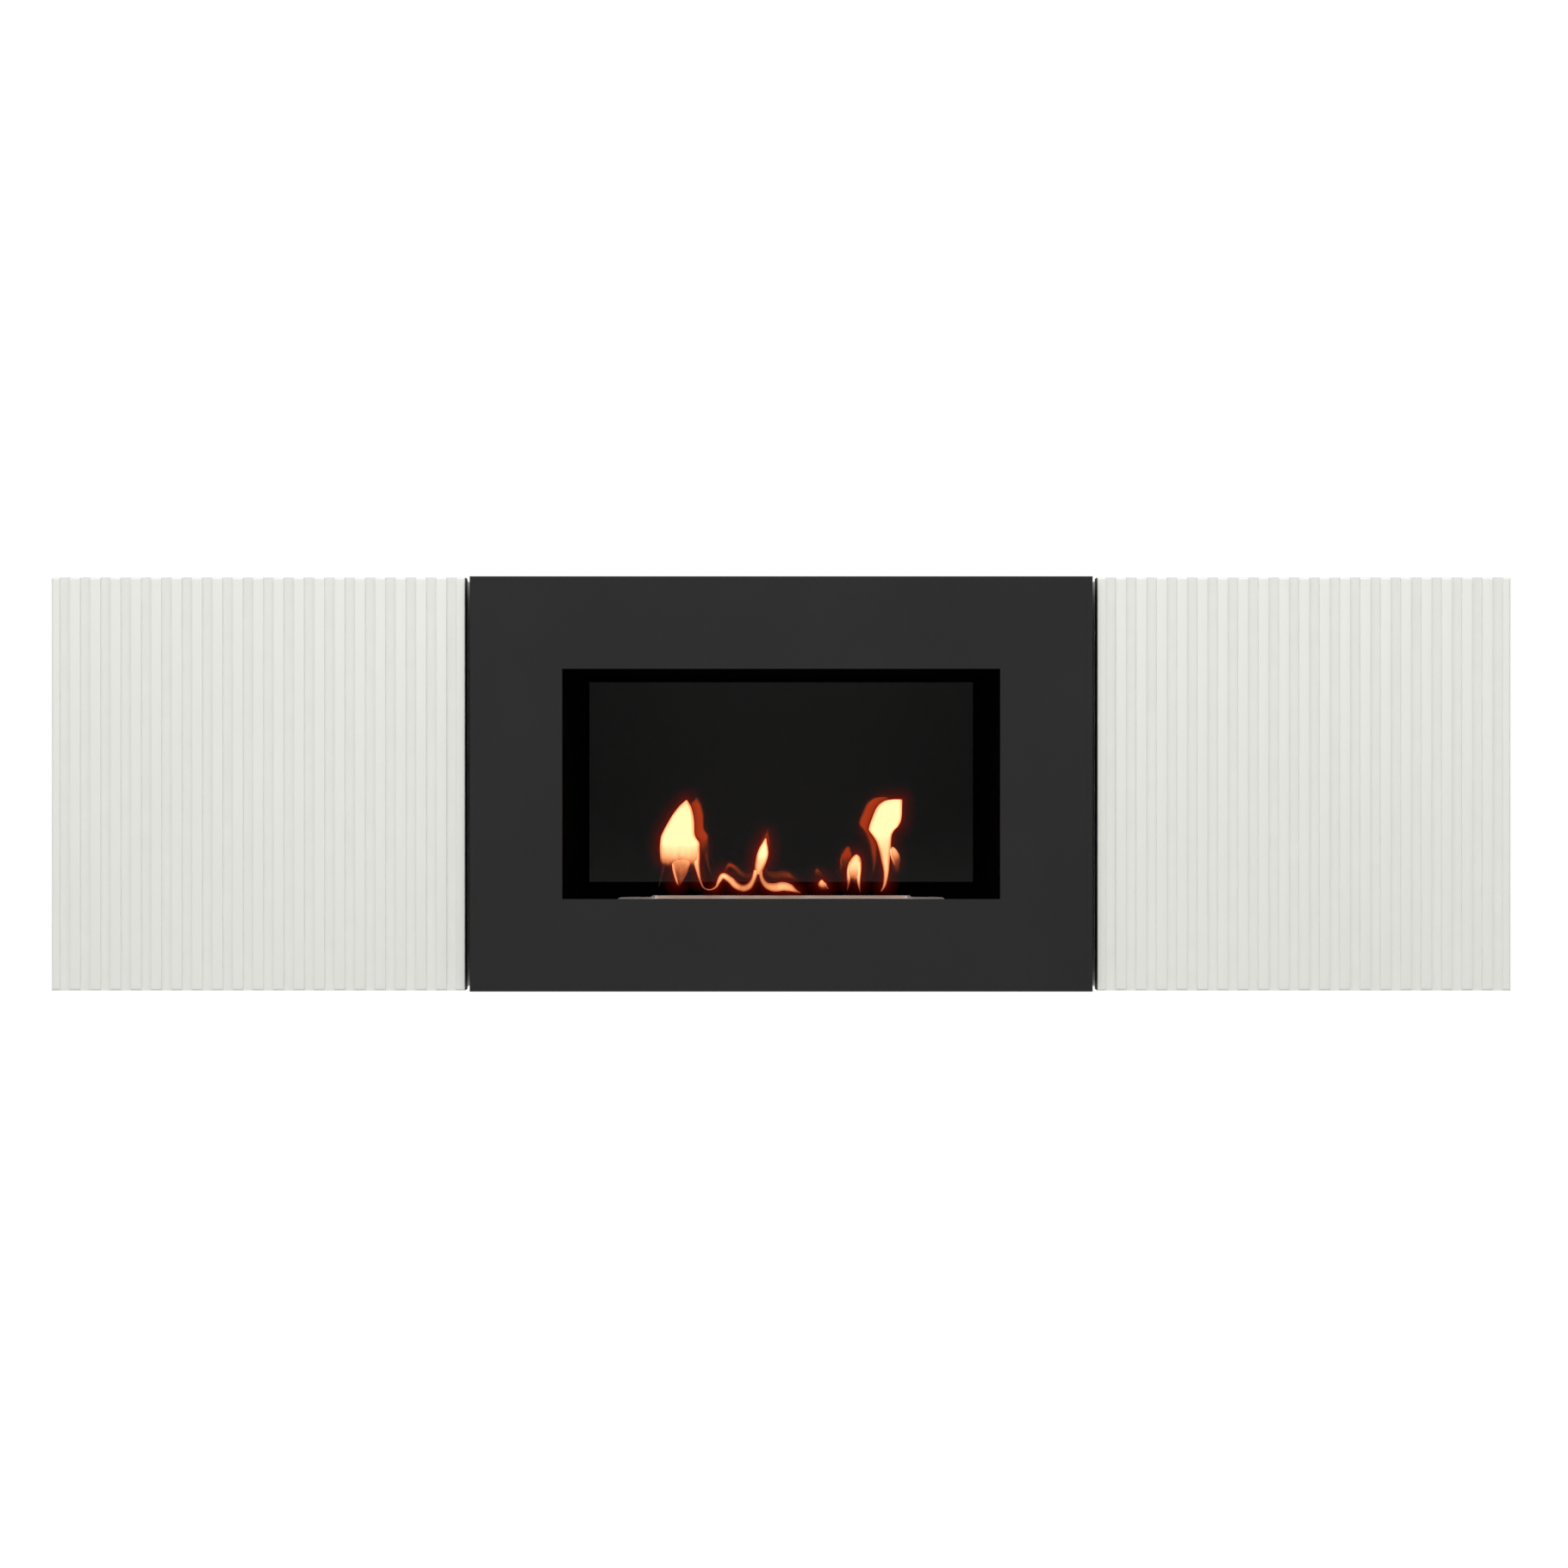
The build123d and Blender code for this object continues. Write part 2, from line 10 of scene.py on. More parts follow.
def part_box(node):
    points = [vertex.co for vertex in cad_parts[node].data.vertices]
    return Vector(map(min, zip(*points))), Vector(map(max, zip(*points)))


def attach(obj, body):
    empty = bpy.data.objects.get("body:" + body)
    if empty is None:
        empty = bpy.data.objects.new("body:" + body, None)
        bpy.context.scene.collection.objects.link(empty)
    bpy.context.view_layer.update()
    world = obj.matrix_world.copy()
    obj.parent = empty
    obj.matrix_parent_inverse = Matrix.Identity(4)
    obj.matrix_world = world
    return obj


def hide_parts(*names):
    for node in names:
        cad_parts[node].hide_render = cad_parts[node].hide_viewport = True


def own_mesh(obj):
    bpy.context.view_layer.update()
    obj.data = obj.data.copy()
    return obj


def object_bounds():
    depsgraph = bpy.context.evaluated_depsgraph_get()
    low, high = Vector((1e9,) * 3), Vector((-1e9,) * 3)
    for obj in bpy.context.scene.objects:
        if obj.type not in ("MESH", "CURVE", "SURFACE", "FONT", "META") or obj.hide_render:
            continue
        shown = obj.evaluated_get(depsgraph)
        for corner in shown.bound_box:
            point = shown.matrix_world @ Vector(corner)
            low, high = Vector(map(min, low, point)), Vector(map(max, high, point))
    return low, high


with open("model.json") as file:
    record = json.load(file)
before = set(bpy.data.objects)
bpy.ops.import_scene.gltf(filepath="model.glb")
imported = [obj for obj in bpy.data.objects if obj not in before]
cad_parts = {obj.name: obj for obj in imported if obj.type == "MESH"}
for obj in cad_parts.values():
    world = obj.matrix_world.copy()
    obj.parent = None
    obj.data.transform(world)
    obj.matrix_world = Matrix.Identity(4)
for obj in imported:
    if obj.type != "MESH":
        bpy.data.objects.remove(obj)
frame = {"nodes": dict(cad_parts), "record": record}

# Looks for a wall-hung spirit-burner fireplace between two cabinets with fluted doors.
# Metres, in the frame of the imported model: +X right, -Y front, +Z up, the wall is y = 0.

cad_low, cad_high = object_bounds()
nodes = frame["nodes"]
slot_of = {part["node"]: part["material_slot"] for part in frame["record"]["subparts"]}
MM = 0.001


# ---------------------------------------------------------------- node patterns


class Look:
    """A Principled material whose patterns are placed by object coordinates, in metres."""

    def __init__(self, name, **sockets):
        self.material = bpy.data.materials.new(name)
        self.material.use_nodes = True
        self.tree = self.material.node_tree
        self.shader = self.tree.nodes["Principled BSDF"]
        for socket, value in sockets.items():
            self.shader.inputs[socket.replace("_", " ")].default_value = value
        self.place = self.tree.nodes.new("ShaderNodeTexCoord").outputs["Object"]

    def node(self, kind, links=(), **values):
        """A node with its properties or sockets set to values, and (socket, source) links into it."""
        made = self.tree.nodes.new(kind)
        for key, value in values.items():
            if hasattr(made, key):
                setattr(made, key, value)
            else:
                made.inputs[key].default_value = value
        for socket, source in links:
            self.tree.links.new(source, made.inputs[socket])
        return made

    def stretched(self, stretch):
        """The object coordinates, scaled along each axis, for patterns with a direction."""
        scaled = self.node("ShaderNodeVectorMath", [(0, self.place)], operation="MULTIPLY")
        scaled.inputs[1].default_value = stretch
        return scaled.outputs["Vector"]

    def cloud(self, scale, detail=3.0, stretch=None):
        """A smooth random pattern from 0 to 1, with about scale features per metre."""
        place = self.stretched(stretch) if stretch else self.place
        return self.node("ShaderNodeTexNoise", [("Vector", place)], Scale=scale, Detail=detail).outputs["Fac"]

    def cells(self, scale, stretch=None):
        """Distances from 0 up to the nearest of scale random points per metre."""
        place = self.stretched(stretch) if stretch else self.place
        return self.node("ShaderNodeTexVoronoi", [("Vector", place)], Scale=scale).outputs["Distance"]

    def axis(self, letter):
        """The object coordinate along X, Y or Z."""
        parts = self.node("ShaderNodeSeparateXYZ", [("Vector", self.place)])
        return parts.outputs[letter]

    def fade(self, source, start, end):
        """0 where source is at start and 1 where it is at end, smooth between."""
        made = self.node("ShaderNodeMapRange", [("Value", source)], interpolation_type="SMOOTHSTEP")
        made.inputs["From Min"].default_value = start
        made.inputs["From Max"].default_value = end
        return made.outputs["Result"]

    def ramp(self, source, stops):
        """Colours (or greys) along source: stops are (position, colour) pairs."""
        made = self.node("ShaderNodeValToRGB", [("Fac", source)])
        band = made.color_ramp
        while len(band.elements) < len(stops):
            band.elements.new(0.5)
        for element, (position, colour) in zip(band.elements, stops):
            element.position = position
            element.color = colour if len(colour) == 4 else (*colour, 1.0)
        return made.outputs["Color"]

    def maths(self, operation, first, second):
        """An operation on two values, each a number or a socket."""
        made = self.node("ShaderNodeMath", operation=operation)
        for index, value in enumerate((first, second)):
            if isinstance(value, (int, float)):
                made.inputs[index].default_value = value
            else:
                self.tree.links.new(value, made.inputs[index])
        return made.outputs["Value"]

    def mix(self, factor, first, second):
        """The first colour where factor is 0 and the second where it is 1."""
        made = self.node("ShaderNodeMix", data_type="RGBA")
        for index, value in ((0, factor), (6, first), (7, second)):
            if isinstance(value, (int, float)):
                made.inputs[index].default_value = value
            elif isinstance(value, tuple):
                made.inputs[index].default_value = (*value, 1.0)
            else:
                self.tree.links.new(value, made.inputs[index])
        return made.outputs[2]

    def paint(self, socket, source):
        """Feeds one of the shader's sockets."""
        self.tree.links.new(source, self.shader.inputs[socket])

    def relief(self, *layers):
        """Bumps, each given as (height pattern, its depth in metres)."""
        normal = None
        for height, depth in layers:
            bump = self.node("ShaderNodeBump", [("Height", height)], Strength=1.0, Distance=depth)
            if normal:
                self.tree.links.new(normal, bump.inputs["Normal"])
            normal = bump.outputs["Normal"]
        self.paint("Normal", normal)


def grey(level):
    """A colour with equal red, green and blue."""
    return (level, level, level)


# ---------------------------------------------------------------- materials


def powder_coat(name, level, roughness):
    """Fine-textured dark powder coat on sheet steel."""
    look = Look(name, Roughness=roughness, Specular_IOR_Level=0.2)
    drift = look.cloud(9.0, 2.0)
    grain = look.cloud(2600.0, 2.0)
    base = look.ramp(drift, [(0.3, grey(level * 0.93)), (0.7, grey(level * 1.07))])
    dark = look.ramp(grain, [(0.35, grey(0.82)), (0.65, grey(1.0))])
    tinted = look.node("ShaderNodeMix", data_type="RGBA", blend_type="MULTIPLY")
    tinted.inputs[0].default_value = 1.0
    look.tree.links.new(base, tinted.inputs[6])
    look.tree.links.new(dark, tinted.inputs[7])
    look.paint("Base Color", tinted.outputs[2])
    look.paint("Roughness", look.ramp(grain, [(0.3, grey(roughness + 0.07)), (0.7, grey(roughness - 0.05))]))
    look.relief((look.cloud(1500.0, 3.0), 0.00006))
    return look.material


def stove_black():
    """Matt heat-proof black with a little soot and dust; its colour is painted darker than real stove paint,
    as painted shade for the deep firebox.
    """
    look = Look("stove_black", Roughness=0.9, Specular_IOR_Level=0.0)
    soot = look.cloud(28.0, 5.0)
    # painted shade: the base colour is near zero so the firebox walls read as deep shade; the soot mottles it
    look.paint("Base Color", look.ramp(soot, [(0.35, grey(0.0012)), (0.75, (0.0042, 0.0038, 0.0034))]))
    look.paint("Roughness", look.ramp(soot, [(0.3, grey(0.8)), (0.7, grey(0.96))]))
    look.relief((look.cloud(900.0, 4.0), 0.00012))
    return look.material


def black_glass():
    """Polished black glass that mirrors the flames in amber, with faint wipe marks.

    Its colour carries painted light: it is painted paler towards its edges and more so towards its bottom,
    which evens out the light that reaches it in the firebox.
    """
    look = Look("black_glass", Roughness=0.02, Specular_IOR_Level=0.9, Specular_Tint=(1.0, 0.5, 0.1, 1.0))
    _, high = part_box("rear_glass")
    # painted light: the base colour is made paler at the edges and the bottom of the glass, to even out the
    # firebox's light on it
    painted_light_below, wipe_share, painted_light_scale = 0.7, 0.15, 0.35
    across = look.maths("DIVIDE", look.axis("X"), high.x)
    upright = look.maths("DIVIDE", look.axis("Z"), high.z)
    edge = look.maths("ADD", look.maths("MULTIPLY", across, across), look.maths("MULTIPLY", upright, upright))
    wipes = look.cloud(7.0, 4.0, (1.0, 1.0, 3.5))
    low_down = look.maths("MULTIPLY", upright, -painted_light_below)
    pale = look.maths("ADD", look.maths("ADD", edge, low_down), look.maths("MULTIPLY", wipes, wipe_share))
    look.paint("Base Color", look.ramp(look.maths("MULTIPLY", pale, painted_light_scale), [
        (0.0, (0.081, 0.081, 0.08)), (0.43, (0.099, 0.099, 0.0985)), (0.95, (0.18, 0.18, 0.179))]))
    look.paint("Roughness", look.ramp(wipes, [(0.45, grey(0.015)), (0.8, grey(0.05))]))
    return look.material


def stainless(name, heated):
    """Stainless sheet brushed along its length, straw and blue where the flame has heated it."""
    look = Look(name, Metallic=0.2, Roughness=0.35)
    streaks = look.cloud(160.0, 4.0, (1.0, 14.0, 14.0))
    steel = look.ramp(streaks, [(0.3, (0.8, 0.77, 0.75)), (0.7, (0.92, 0.9, 0.88))])
    if heated:
        half_slot, cool, hot = 112.0 * MM, 23.5 * MM, 6.0 * MM
        slot_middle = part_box("burner_top_plate")[0].y + 43.0 * MM
        beside = look.maths("ABSOLUTE", look.maths("SUBTRACT", look.axis("Y"), slot_middle), 0.0)
        beyond = look.maths("SUBTRACT", look.maths("ABSOLUTE", look.axis("X"), 0.0), half_slot)
        reach = look.maths("MAXIMUM", beside, beyond)
        uneven = look.maths("MULTIPLY", look.cloud(40.0), 0.25)
        heat = look.maths("ADD", look.fade(reach, cool, hot), uneven)
        tint = look.ramp(heat, [(0.1, (0.78, 0.76, 0.74)), (0.45, (0.72, 0.58, 0.46)),
                                (0.8, (0.36, 0.2, 0.2)), (1.0, (0.13, 0.14, 0.24))])
        steel = look.mix(look.fade(heat, 0.1, 0.6), steel, tint)
    look.paint("Base Color", steel)
    look.paint("Roughness", look.ramp(streaks, [(0.2, grey(0.24)), (0.8, grey(0.4))]))
    look.relief((streaks, 0.00002))
    return look.material


def plated(name, colour, mottle):
    """Plated steel fittings with faint tumbling marks and duller patches."""
    look = Look(name, Metallic=1.0, Roughness=0.28)
    patches = look.cloud(220.0, 4.0)
    marks = look.cloud(1800.0, 2.0)
    worn = tuple(channel * (1.0 - mottle) for channel in colour)
    look.paint("Base Color", look.ramp(patches, [(0.35, worn), (0.65, colour)]))
    look.paint("Roughness", look.ramp(patches, [(0.3, grey(0.42)), (0.7, grey(0.24))]))
    look.relief((marks, 0.00002))
    return look.material


def lacquer():
    """Satin off-white lacquer with a sprayed board's faint orange peel; the flutes' floors are painted
    darker, as painted shade.
    """
    look = Look("white_lacquer", Roughness=0.5, Specular_IOR_Level=0.4)
    face = look.ramp(look.cloud(5.0, 2.0), [(0.3, (0.785, 0.792, 0.743)), (0.7, (0.81, 0.817, 0.769))])
    # painted shade: a darker colour for the flutes' floors than for the lands, blended in by depth below the
    # front
    groove_shade = look.ramp(look.cloud(40.0, 3.0), [(0.3, (0.765, 0.772, 0.724)), (0.7, (0.787, 0.794, 0.746))])
    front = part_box("left_door")[0].y
    groove_shade_mask = look.fade(look.axis("Y"), front + 0.5 * MM, front + 1.6 * MM)
    look.paint("Base Color", look.mix(groove_shade_mask, face, groove_shade))
    peel = look.cloud(420.0, 2.0)
    look.paint("Roughness", look.ramp(peel, [(0.3, grey(0.46)), (0.7, grey(0.55))]))
    look.relief((peel, 0.00003), (look.cloud(2400.0, 1.0), 0.000006))
    return look.material


def melamine(name, colour):
    """White-faced chipboard: pearl-textured faces, a banded front edge and raw chips at the wall."""
    look = Look(name, Roughness=0.5, Specular_IOR_Level=0.35)
    depth = look.axis("Y")
    pearl = look.cloud(700.0, 3.0)
    dim = tuple(channel * 0.97 for channel in colour)
    face = look.ramp(look.cloud(6.0, 2.0), [(0.3, dim), (0.7, colour)])
    band_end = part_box("left_side_inner")[0].y + 1.0 * MM  # where the front's edge band meets the faces
    joint_width = 0.2 * MM
    joint = look.maths("MULTIPLY", look.fade(depth, band_end + joint_width, band_end),
                       look.fade(depth, band_end - joint_width, band_end))
    face = look.mix(joint, face, (0.42, 0.41, 0.38))
    chips = look.cells(420.0, (1.0, 1.0, 0.55))
    raw = look.ramp(chips, [(0.1, (0.2, 0.12, 0.06)), (0.4, (0.44, 0.3, 0.17)), (0.8, (0.58, 0.43, 0.27))])
    look.paint("Base Color", look.mix(look.fade(depth, -0.4 * MM, -0.2 * MM), face, raw))
    look.paint("Roughness", look.ramp(pearl, [(0.3, grey(0.42)), (0.7, grey(0.58))]))
    look.relief((pearl, 0.00003), (chips, 0.00002))
    return look.material


def hardboard():
    """Thin white-foiled hardboard with a hint of its pressed fibres."""
    look = Look("white_hardboard", Roughness=0.62, Specular_IOR_Level=0.3)
    fibres = look.cloud(260.0, 5.0, (1.0, 1.0, 0.35))
    look.paint("Base Color", look.ramp(fibres, [(0.3, (0.7, 0.7, 0.66)), (0.7, (0.77, 0.77, 0.73))]))
    look.paint("Roughness", look.ramp(fibres, [(0.3, grey(0.56)), (0.7, grey(0.7))]))
    look.relief((fibres, 0.00004))
    return look.material


def moulded(name, low, high, roughness):
    """Moulded plastic with a spark-eroded grain."""
    look = Look(name, Roughness=roughness, Specular_IOR_Level=0.4)
    grain = look.cloud(1400.0, 3.0)
    look.paint("Base Color", look.ramp(look.cloud(30.0), [(0.3, low), (0.7, high)]))
    look.paint("Roughness", look.ramp(grain, [(0.3, grey(roughness - 0.06)), (0.7, grey(roughness + 0.08))]))
    look.relief((grain, 0.00005))
    return look.material


def fibre_board():
    """Pressed mineral-fibre board: buff, flecked and soft-faced."""
    look = Look("fibre_board", Roughness=0.95, Specular_IOR_Level=0.1)
    flecks = look.cells(300.0)
    strands = look.cloud(120.0, 6.0, (1.0, 2.5, 2.5))
    buff = look.ramp(strands, [(0.3, (0.58, 0.5, 0.38)), (0.7, (0.78, 0.71, 0.58))])
    look.paint("Base Color", look.mix(look.fade(flecks, 0.16, 0.06), buff, (0.3, 0.22, 0.13)))
    look.paint("Roughness", look.ramp(strands, [(0.3, grey(0.88)), (0.7, grey(1.0))]))
    look.relief((strands, 0.0006), (flecks, 0.0002))
    return look.material


def ceramic_wool():
    """Off-white ceramic wool, scorched below the slot."""
    look = Look("ceramic_wool", Roughness=0.98, Specular_IOR_Level=0.05)
    strands = look.cloud(420.0, 6.0, (0.5, 1.6, 2.0))
    wool = look.ramp(strands, [(0.25, (0.5, 0.47, 0.42)), (0.7, (0.82, 0.8, 0.75))])
    white_below, black_above, uneven = -139.0 * MM, -127.0 * MM, 12.0 * MM
    height = look.maths("ADD", look.axis("Z"), look.maths("MULTIPLY", look.cloud(70.0), uneven))
    scorch = look.fade(height, white_below, black_above)
    look.paint("Base Color", look.mix(scorch, wool, (0.06, 0.05, 0.04)))
    look.relief((strands, 0.0012))
    return look.material


def silicone():
    """Heat-proof red silicone, a little mottled."""
    look = Look("silicone", Roughness=0.6, Specular_IOR_Level=0.4)
    look.paint("Base Color", look.ramp(look.cloud(90.0), [(0.3, (0.2, 0.02, 0.014)),
                                                          (0.7, (0.28, 0.034, 0.02))]))
    look.paint("Roughness", look.ramp(look.cloud(300.0), [(0.3, grey(0.5)), (0.7, grey(0.68))]))
    look.relief((look.cloud(500.0), 0.0001))
    return look.material


looks = {
    "charcoal_steel": powder_coat("charcoal_powder", 0.0195, 0.55),
    "black_screw": powder_coat("black_screw", 0.02, 0.4),
    "casing_steel": powder_coat("casing_powder", 0.024, 0.5),
    "black_liner": stove_black(),
    "black_glass": black_glass(),
    "silicone": silicone(),
    "fibre_board": fibre_board(),
    "zinc_steel": plated("zinc_plate", (0.6, 0.62, 0.64), 0.22),
    "stainless": stainless("stainless", False),
    "ceramic_wool": ceramic_wool(),
    "white_board": melamine("white_board", (0.8, 0.8, 0.765)),
    "white_hardboard": hardboard(),
    "white_lacquer": lacquer(),
    "dark_edge": moulded("dark_edge", grey(0.012), grey(0.02), 0.55),
    "nickel": plated("nickel_plate", (0.66, 0.63, 0.58), 0.15),
    "grey_plastic": moulded("grey_plastic", grey(0.5), grey(0.6), 0.5),
    "dark_plastic": moulded("dark_plastic", grey(0.03), grey(0.045), 0.45),
}
hot_steel = stainless("stainless_heated", True)

for name, piece in nodes.items():
    for held in piece.material_slots:
        held.material = looks[slot_of[name]]
for name in ("burner_top_plate", "burner_lid", "lid_guides"):
    for held in nodes[name].material_slots:
        held.material = hot_steel


# ---------------------------------------------------------------- mesh helpers


def new_piece(name, mesh, body, material, stands_for=()):
    """A finished piece that rides on a body and may stand for CAD nodes."""
    piece = bpy.data.objects.new(name, mesh)
    bpy.context.scene.collection.objects.link(piece)
    mesh.materials.clear()
    mesh.materials.append(material)
    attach(piece, body)
    if stands_for:
        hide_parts(*stands_for)
    return piece


def shade(mesh, angle=35.0):
    """Smooth shading, with edges sharper than angle kept crisp."""
    mesh.shade_smooth()
    mesh.set_sharp_from_angle(angle=math.radians(angle))


# ---------------------------------------------------------------- fluted doors

FLUTES = 20
FLUTE_PITCH = 19.7 * MM
FLUTE_WIDTH = 9.7 * MM
FLUTE_DEPTH = 2.2 * MM
FLUTE_BOTTOM = 0.8 * MM  # radius
FLUTE_SHOULDER = 0.5 * MM  # radius
OUTLINE = 2.6 * MM  # radius of the door's front outline
INNER_EDGE = 0.8 * MM  # radius of the front edge beside the middle unit
BAND = 0.8 * MM  # thickness of the dark band on the inner edge
BAND_SETBACK = 3.0 * MM
OUTLINE_STEPS = 5  # facets round the front outline


def arc(centre, radius, start, end, steps):
    """Points on a circle, from start to end degrees."""
    angles = [math.radians(start + (end - start) * i / steps) for i in range(steps + 1)]
    return [(centre[0] + radius * math.cos(a), centre[1] + radius * math.sin(a)) for a in angles]


def flute_outline(middle):
    """One flute's section as (across, depth) points, from its near land to its far one."""
    near = middle - FLUTE_WIDTH / 2
    far = middle + FLUTE_WIDTH / 2
    points = arc((near - FLUTE_SHOULDER, FLUTE_SHOULDER), FLUTE_SHOULDER, -90, 0, 3)
    points += arc((near + FLUTE_BOTTOM, FLUTE_DEPTH - FLUTE_BOTTOM), FLUTE_BOTTOM, 180, 90, 4)
    points += arc((far - FLUTE_BOTTOM, FLUTE_DEPTH - FLUTE_BOTTOM), FLUTE_BOTTOM, 90, 0, 4)
    points += arc((far + FLUTE_SHOULDER, FLUTE_SHOULDER), FLUTE_SHOULDER, 180, 270, 3)
    return points


def fluted_door(side):
    """A door board with flutes from edge to edge and a softly rounded front outline."""
    low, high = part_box(side + "_door")
    width, thick, _ = high - low
    front = arc((INNER_EDGE, INNER_EDGE), INNER_EDGE, 180, 270, 3)
    first = (width - (FLUTES - 1) * FLUTE_PITCH) / 2
    for i in range(FLUTES):
        front += flute_outline(first + i * FLUTE_PITCH)
    front += arc((width - OUTLINE, OUTLINE), OUTLINE, 270, 360, OUTLINE_STEPS)
    rear = [(width, thick), (BAND, thick), (BAND, BAND_SETBACK), (0.0, BAND_SETBACK)]

    steps = [math.radians(90 * i / OUTLINE_STEPS) for i in range(OUTLINE_STEPS + 1)]
    ends = [(OUTLINE * (1 - math.cos(a)), OUTLINE * (1 - math.sin(a))) for a in steps]
    heights = [(low.z + rise, pull) for rise, pull in ends]
    heights += [(high.z - rise, pull) for rise, pull in reversed(ends)]
    sign = 1.0 if side == "right" else -1.0
    inner = low.x if side == "right" else high.x

    made = bmesh.new()
    rings = []
    for z, pull in heights:
        outline = [(u, max(v, pull)) for u, v in front] + rear
        rings.append([made.verts.new((inner + sign * u, low.y + v, z)) for u, v in outline])
    count = len(rings[0])
    for below, above in zip(rings, rings[1:]):
        for i in range(count):
            j = (i + 1) % count
            made.faces.new((below[i], below[j], above[j], above[i]))
    made.faces.new(rings[0])
    made.faces.new(rings[-1])
    bmesh.ops.recalc_face_normals(made, faces=made.faces)
    mesh = bpy.data.meshes.new(side + "_fluted_door")
    made.to_mesh(mesh)
    made.free()
    shade(mesh, 40.0)
    new_piece(side + "_fluted_door", mesh, side + "_door", looks["white_lacquer"],
              [side + "_door"])


for side in ("left", "right"):
    fluted_door(side)


# ---------------------------------------------------------------- wool and fibre

COARSE, FINE = 120.0, 420.0  # lumps per metre


def fibre_piece(node, cuts, dent):
    """A block of fibres with soft corners and a lumpy skin, inside its CAD box."""
    low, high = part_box(node)
    middle, half = (low + high) / 2, (high - low) / 2
    made = bmesh.new()
    bmesh.ops.create_cube(made, size=2.0)
    bmesh.ops.subdivide_edges(made, edges=made.edges[:], cuts=cuts, use_grid_fill=True)
    for corner in made.verts:
        place = Vector(tuple(corner.co[i] * half[i] for i in range(3)))
        lump = 0.5 + 0.5 * noise.noise(place * COARSE) + 0.25 * noise.noise(place * FINE)
        inset = dent * (0.2 + 0.8 * max(0.0, min(1.0, lump)))
        for i in range(3):
            place[i] = max(-half[i] + inset, min(half[i] - inset, place[i]))
        corner.co = middle + place
    mesh = bpy.data.meshes.new(node + "_fibres")
    made.to_mesh(mesh)
    made.free()
    shade(mesh, 60.0)
    slot = slot_of[node]
    bodies = frame["record"]["behaviour"]["bodies"]
    body = next(body for body, held in bodies.items() if node in held)
    new_piece(node + "_fibres", mesh, body, looks[slot], [node])


fibre_piece("burner_wool", 40, 1.6 * MM)
fibre_piece("insulation_back", 24, 0.8 * MM)
fibre_piece("insulation_top", 24, 0.8 * MM)


# ---------------------------------------------------------------- flames

LID_REAR_TO_SLOT = 50.5 * MM
slot_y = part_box("burner_lid")[1].y - LID_REAR_TO_SLOT  # middle of the burner's slot
SECTION = 24  # points round a stroke's section
RIM = 3.0  # mm, width of the cooler edge of a wide stroke
HALO = 15.0  # mm, how far the glow reaches round the flames
GLOWING = 0.45  # only gas warmer than this glows
HALO_LOW = Vector((-0.142, 0.0, -0.119))  # corners of the glow's sheet
HALO_HIGH = Vector((0.142, 0.0, 0.0))
FADING = 5.5  # strokes cooler than this are thinner in depth
LEAST_DEPTH = 0.1  # share of its depth that a stroke keeps where its heat is gone
SWAY = 1.6  # mm, how far the flames lean to and fro in depth

# Flames as strokes, each a list of (x, z, half width, heat), the first three in mm.
# Heat runs from 0, gone, to 10, yellow-white. A level stroke's sections stay level; any other stroke's
# sections stand across its path.
LEFT_BODY = [(-98, -17, 1, 6), (-100, -25, 7, 9), (-103, -38, 12.7, 10), (-106.5, -53, 17, 10),
             (-105, -61, 20, 10), (-105, -66, 20.5, 8.4), (-105, -71, 20.5, 7.3), (-105, -76, 20.3, 6.1),
             (-105, -81, 20, 3.9), (-105, -86, 19.5, 1.7), (-105, -93, 19, 0)]
LEFT_LOBE = [(-119, -73, 6, 5.5), (-121, -81, 2.6, 2.8), (-123, -92, 1.6, 1.7), (-127, -107, 0.6, 1)]
MIDDLE_LOBE = [(-104, -60, 12, 9), (-104, -66, 13, 8.5), (-103.5, -71, 13, 7.6), (-103, -77, 12, 6.6),
               (-103.4, -82, 10.2, 5.4), (-104, -88, 8, 4.3), (-104.3, -94, 6.4, 3.4), (-105.4, -101, 3.4, 3),
               (-106.2, -106, 0.8, 1.2)]
MIDDLE_EDGE = [(-112.4, -74, 1.2, 7), (-111.4, -86, 1.7, 6), (-109.8, -94, 1.6, 5.8), (-108, -101, 1.3, 5.2),
               (-106.5, -105.5, 0.5, 3)]
LEFT_LEG = [(-91, -60, 4.5, 9.5), (-89.3, -68, 4.6, 8.5), (-88.2, -76, 3.9, 7.4), (-87.5, -83, 3, 6.5),
            (-86, -91, 2, 5.6), (-84, -99.5, 1.3, 4.4), (-80.5, -107.5, 0.9, 3.8), (-74, -110, 0.8, 4),
            (-67.5, -107, 1.1, 4.8), (-64.5, -101, 2, 5.6), (-60, -95.5, 2.9, 7.6), (-53, -99.5, 3.2, 6.5),
            (-46.5, -105.5, 3.5, 5.8), (-39.5, -108.3, 3.6, 5), (-33, -106, 3.4, 5.2), (-29, -100, 2.5, 5.8),
            (-26, -90, 2.4, 7.6)]
CENTRE = [(-15.5, -53, 0.5, 3), (-16.2, -57.5, 1.5, 6), (-18, -65.5, 4.4, 9.6), (-19.2, -73, 6.1, 10),
          (-20.8, -80.5, 5.8, 8), (-22.8, -88, 4.6, 6.9), (-24, -94, 2.4, 5.4)]
CENTRE_TAIL = [(-21.5, -87, 2.4, 6), (-20.5, -97, 1.9, 5), (-16, -104.5, 2.9, 4.8), (-8, -107.5, 4.2, 6),
               (2, -106.5, 4.4, 6.7), (9, -108, 3.7, 6.6), (14, -110.5, 2, 5.4), (20, -113.3, 0.5, 2.4)]
